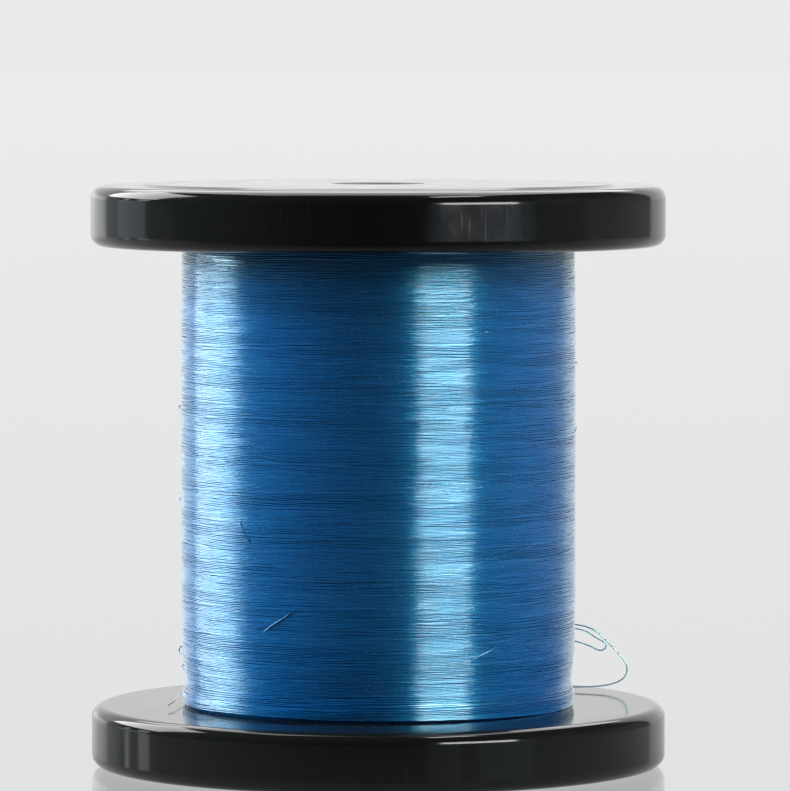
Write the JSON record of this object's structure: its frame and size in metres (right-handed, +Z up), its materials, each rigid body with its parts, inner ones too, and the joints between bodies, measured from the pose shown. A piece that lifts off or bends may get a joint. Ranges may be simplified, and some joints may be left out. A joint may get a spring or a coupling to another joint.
{
  "type": "fishing line spool",
  "caption": "Thick-flanged plastic spool wound with blue monofilament line, with a round through bore for a spindle.",
  "frame": {"origin": "centre of the lower end face that the spool stands on", "axes": "+Z up along the spindle bore; the spool is round about it, and the line's loose loops are on the +X +Y side"},
  "size_m": [0.125, 0.125, 0.127],
  "materials": {
    "flange_plastic": "glossy black moulded ABS",
    "cover_plastic": "glossy black moulded ABS disc",
    "tube_plastic": "satin black extruded tube",
    "tape": "matt cream adhesive tape",
    "line": "glossy translucent blue nylon monofilament"
  },
  "bodies": {
    "root": {"lower_flange": "flange_plastic", "upper_flange": "flange_plastic", "lower_end_cover": "cover_plastic", "upper_end_cover": "cover_plastic", "barrel_tube": "tube_plastic", "arbor_tube": "tube_plastic", "start_tape": "tape", "line_pack": "line", "line_free_end": "line", "line_slack_loop": "line"}
  },
  "joints": []
}
